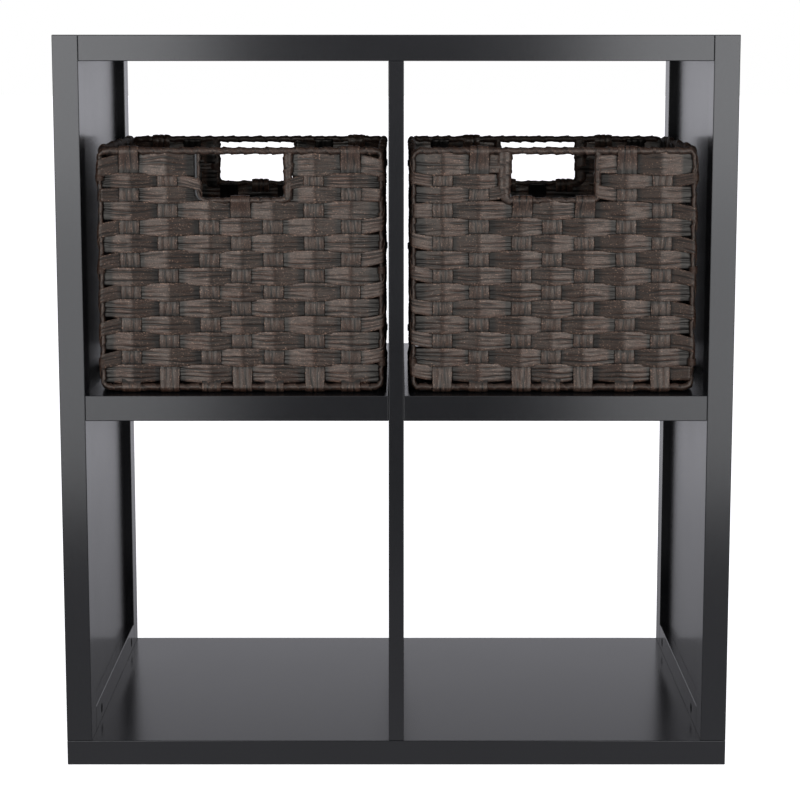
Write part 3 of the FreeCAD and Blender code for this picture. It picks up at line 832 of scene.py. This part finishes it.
# Soft boxes: name, place, the point that it faces, width, height and radiance
BOXES = (
    ("left_low_box", (-0.8, -1.5, 0.25), (-0.8, 0, 0.25), 1.0, 0.5, 2.8),
    ("right_low_box", (0.8, -1.5, 0.25), (0.8, 0, 0.25), 1.0, 0.5, 2.8),
    ("left_high_box", (-0.8, -1.5, 0.75), (-0.8, 0, 0.75), 1.0, 0.5, 4.3),
    ("right_high_box", (0.8, -1.5, 0.75), (0.8, 0, 0.75), 1.0, 0.5, 4.3),
    ("left_upper_box", (-0.8, -1.5, 1.4), (-0.8, 0, 1.4), 1.0, 0.8, 4.3),
    ("right_upper_box", (0.8, -1.5, 1.4), (0.8, 0, 1.4), 1.0, 0.8, 4.3),
    ("head_box", (0, -1.5, 1.3), (0, 0, 1.3), 0.5, 0.8, 0.5),
)
SKY_TINT = (1.0, 1.0, 1.08)
BOX_TINT = (0.99, 1.0, 1.03)
UNREFLECTED = ("left_upper_box", "right_upper_box")     # they light the unit, and gloss doesn't show them
PITCH = -8.3                # camera's tilt in degrees
SHIFT = -0.04
HALF_ANGLE = 10.28          # half of the camera's field of view, in degrees
CAMERA_X = 0.0037
CAMERA_DISTANCE = 2.134     # in front of the unit
CAMERA_DROP = 0.011         # below its top
FLOOR_SIZE = 30.0


def by_elevation(nodes, links, height, stops):
    """Strength that depends on how high a direction points, where height is its Z."""
    shifted = nodes.new("ShaderNodeMapRange")
    shifted.inputs["From Min"].default_value = -1.0
    links.new(height, shifted.inputs["Value"])
    places = [((1 + math.sin(math.radians(angle))) / 2, grey(strength)) for angle, strength in stops]
    return ramp(nodes, links, shifted.outputs["Result"], places)


def surroundings():
    """White to the camera. On the object, light by elevation, one profile behind and one in front."""
    world = bpy.data.worlds.new("studio")
    world.use_nodes = True
    bpy.context.scene.world = world
    nodes, links = world.node_tree.nodes, world.node_tree.links
    background = nodes["Background"]
    direction = nodes.new("ShaderNodeSeparateXYZ")
    links.new(nodes.new("ShaderNodeTexCoord").outputs["Generated"], direction.inputs["Vector"])
    side = nodes.new("ShaderNodeMapRange")
    side.interpolation_type = "SMOOTHSTEP"
    side.inputs["From Min"].default_value = -0.5
    side.inputs["From Max"].default_value = 0.5
    links.new(direction.outputs["Y"], side.inputs["Value"])
    before = by_elevation(nodes, links, direction.outputs["Z"], BEFORE)
    behind = by_elevation(nodes, links, direction.outputs["Z"], BEHIND)
    light = mix(nodes, links, side.outputs["Result"], before, behind)
    light = mix(nodes, links, 1.0, light, (*SKY_TINT, 1), "MULTIPLY")
    seen = nodes.new("ShaderNodeLightPath").outputs["Is Camera Ray"]
    links.new(mix(nodes, links, seen, light, (1, 1, 1, 1)), background.inputs["Color"])
    background.inputs["Strength"].default_value = 1.0


def soft_boxes():
    for name, place, target, width, height, radiance in BOXES:
        light = bpy.data.lights.new(name, "AREA")
        light.shape = "RECTANGLE"
        light.color = BOX_TINT
        light.size = width
        light.size_y = height
        light.energy = radiance * math.pi * width * height
        lamp = bpy.data.objects.new(name, light)
        lamp.location = place
        lamp.rotation_euler = (Vector(target) - Vector(place)).to_track_quat("-Z", "Y").to_euler()
        lamp.visible_camera = False
        lamp.visible_glossy = name not in UNREFLECTED
        bpy.context.scene.collection.objects.link(lamp)


def floor():
    """Plain white floor, which gives off a little light of its own so that it stays pale far away."""
    mesh = bpy.data.meshes.new("floor")
    far = FLOOR_SIZE
    mesh.from_pydata([(-far, -far, 0), (far, -far, 0), (far, far, 0), (-far, far, 0)], [], [(0, 1, 2, 3)])
    made = bpy.data.objects.new("floor", mesh)
    bpy.context.scene.collection.objects.link(made)
    paint, _, _, shader = new_material("floor")
    shader.inputs["Base Color"].default_value = (0.9, 0.9, 0.9, 1)
    shader.inputs["Roughness"].default_value = 0.9
    shader.inputs["Emission Color"].default_value = (1, 1, 1, 1)
    shader.inputs["Emission Strength"].default_value = 0.75
    mesh.materials.append(paint)
    made.visible_glossy = False
    made.visible_diffuse = False


def camera():
    """Just under the top board's height, looking a little down."""
    low, high = cad_box
    data = bpy.data.cameras.new("camera")
    made = bpy.data.objects.new("camera", data)
    bpy.context.scene.collection.objects.link(made)
    made.location = (CAMERA_X, low.y - CAMERA_DISTANCE, high.z - CAMERA_DROP)
    made.rotation_euler = (math.pi / 2 + math.radians(PITCH), 0, 0)
    data.sensor_width = 36
    data.lens = 18 / math.tan(math.radians(HALF_ANGLE))
    data.shift_y = SHIFT
    bpy.context.scene.camera = made


surroundings()
soft_boxes()
floor()
camera()
bpy.context.scene.view_settings.view_transform = "Standard"
